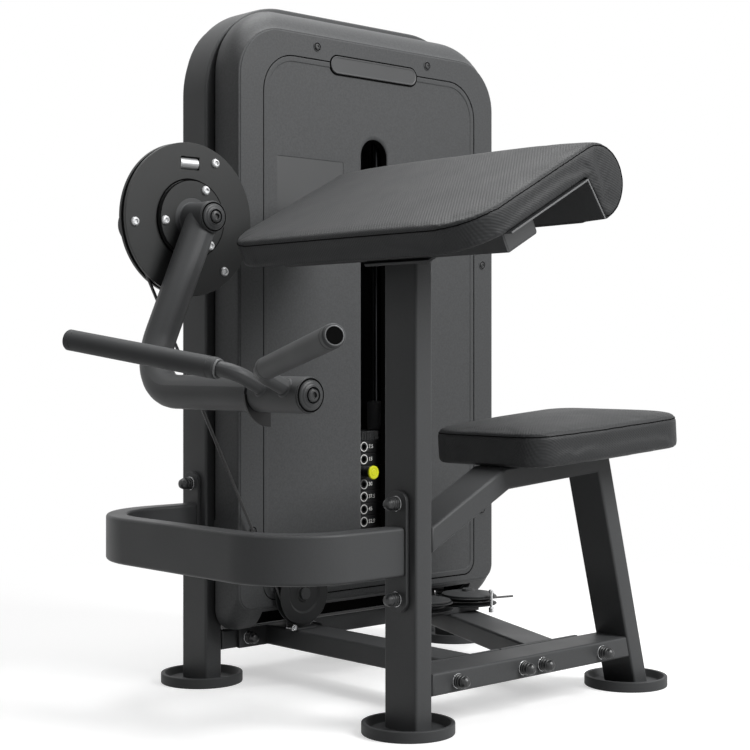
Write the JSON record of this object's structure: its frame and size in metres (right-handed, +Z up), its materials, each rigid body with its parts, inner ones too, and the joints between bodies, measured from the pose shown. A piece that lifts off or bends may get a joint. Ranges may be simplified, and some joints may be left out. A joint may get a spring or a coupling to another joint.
{
  "type": "biceps curl machine",
  "caption": "Biceps curl machine: a covered weight stack tower, a cam and swinging arm with a V handle, a sloping arm pad and a seat on a tube frame.",
  "frame": {"origin": "middle of the footprint, on the floor", "axes": "+X from the swinging arm's side towards the seat, +Y from the seat towards the weight stack tower, +Z up"},
  "size_m": [1.2874, 1.0292, 1.374],
  "materials": {
    "coat": "satin charcoal powder coat",
    "cover": "fine grained charcoal moulding",
    "rubber": "matt black",
    "cable": "smooth black jacket",
    "pad": "grained dark grey cover over foam",
    "plate": "satin black paint",
    "steel": "polished",
    "sheave": "black nylon",
    "knob": "bright yellow knob on a steel pin"
  },
  "bodies": {
    "frame": {"tower_frame": "coat", "tower_base_tube": "coat", "post": "coat", "seat_frame": "coat", "base_beam": "coat", "left_crossbar": "coat", "right_crossbar": "coat", "guard_rail": "coat", "pad_plate": "coat", "pad_bracket": "coat", "bearing_housing": "coat", "lower_sheave_bracket": "coat", "turn_sheave_bracket": "coat", "top_sheave_bracket": "coat", "front_cover": "cover", "rear_cover": "cover", "foot_tower_left": "rubber", "foot_tower_right": "rubber", "foot_post": "rubber", "foot_seat_leg": "rubber", "stack_cushion_left": "rubber", "stack_cushion_right": "rubber", "seat_board": "rubber", "pull_cable": "cable", "arm_pad": "pad", "seat_cushion": "pad", "weight_plate_04": "plate", "weight_plate_05": "plate", "weight_plate_06": "plate", "weight_plate_07": "plate", "weight_plate_08": "plate", "weight_plate_09": "plate", "weight_plate_10": "plate", "guide_rod_left": "steel", "guide_rod_right": "steel"},
    "curl_arm": {"curl_arm": "coat", "cam_disc": "coat", "pivot_shaft": "steel", "hub_cap": "rubber", "cable_barrel": "steel", "cam_cable": "cable"},
    "handle": {"handle_sleeve": "coat", "sleeve_cap": "rubber", "grip_left": "rubber", "grip_right": "rubber"},
    "weight_stack": {"weight_plate_01": "plate", "weight_plate_02": "plate", "weight_plate_03": "plate", "stack_head_cover": "cover", "selector_rod": "steel", "rod_bumper_left": "rubber", "rod_bumper_right": "rubber", "stack_cable": "cable"},
    "selector_pin": {"selector_pin": "knob"},
    "lower_sheave": {"lower_sheave": "sheave"},
    "turn_sheave_left": {"turn_sheave_left": "sheave"},
    "turn_sheave_right": {"turn_sheave_right": "sheave"},
    "tower_sheave": {"tower_sheave": "sheave"},
    "top_sheave_right": {"top_sheave_right": "sheave"},
    "top_sheave_left": {"top_sheave_left": "sheave"}
  },
  "joints": [
    {"name": "arm_swing", "type": "hinge", "parent": "frame", "child": "curl_arm", "pos_m": [-0.29632, 0.43263, 0.913], "axis": [0, 1, 0], "range_deg": [0, 130]},
    {"name": "handle_swivel", "type": "hinge", "parent": "curl_arm", "child": "handle", "pos_m": [-0.4343, -0.16737, 0.592], "axis": [0, 1, 0], "range_deg": [0, 60]},
    {"name": "stack_lift", "type": "slide", "parent": "frame", "child": "weight_stack", "axis": [0, 0, 1], "range_m": [0, 0.2955], "deforming": ["stack_cable"]},
    {"name": "pin_pull", "type": "slide", "parent": "weight_stack", "child": "selector_pin", "axis": [0, -1, 0], "range_m": [0, 0.08]},
    {"name": "lower_sheave_spin", "type": "hinge", "parent": "frame", "child": "lower_sheave", "pos_m": [-0.01232, 0.29363, 0.178], "axis": [0, 1, 0], "range_deg": [0, 331.87]},
    {"name": "turn_sheave_left_spin", "type": "hinge", "parent": "frame", "child": "turn_sheave_left", "pos_m": [0.28168, 0.24263, 0.127], "axis": [0, 0, 1], "range_deg": [0, 331.87]},
    {"name": "turn_sheave_right_spin", "type": "hinge", "parent": "frame", "child": "turn_sheave_right", "pos_m": [0.41668, 0.24263, 0.127], "axis": [0, 0, 1], "range_deg": [-331.87, 0]},
    {"name": "tower_sheave_spin", "type": "hinge", "parent": "frame", "child": "tower_sheave", "pos_m": [0.46768, 0.42632, 0.161], "axis": [1, 0, 0], "range_deg": [-497.56, 0]},
    {"name": "top_sheave_right_spin", "type": "hinge", "parent": "frame", "child": "top_sheave_right", "pos_m": [0.43445, 0.45311, 1.272], "axis": [-0.212, 0.9773, 0], "range_deg": [0, 497.56]},
    {"name": "top_sheave_left_spin", "type": "hinge", "parent": "frame", "child": "top_sheave_left", "pos_m": [0.23491, 0.40984, 1.272], "axis": [-0.212, 0.9773, 0], "range_deg": [0, 497.56]}
  ],
  "couplings": [
    {"joint": "stack_lift", "follows": "arm_swing", "m_per_rad": 0.13},
    {"joint": "lower_sheave_spin", "follows": "arm_swing", "ratio": 2.549},
    {"joint": "turn_sheave_left_spin", "follows": "arm_swing", "ratio": 2.549},
    {"joint": "turn_sheave_right_spin", "follows": "arm_swing", "ratio": -2.549},
    {"joint": "tower_sheave_spin", "follows": "arm_swing", "ratio": -3.8235},
    {"joint": "top_sheave_right_spin", "follows": "arm_swing", "ratio": 3.8235},
    {"joint": "top_sheave_left_spin", "follows": "arm_swing", "ratio": 3.8235}
  ]
}
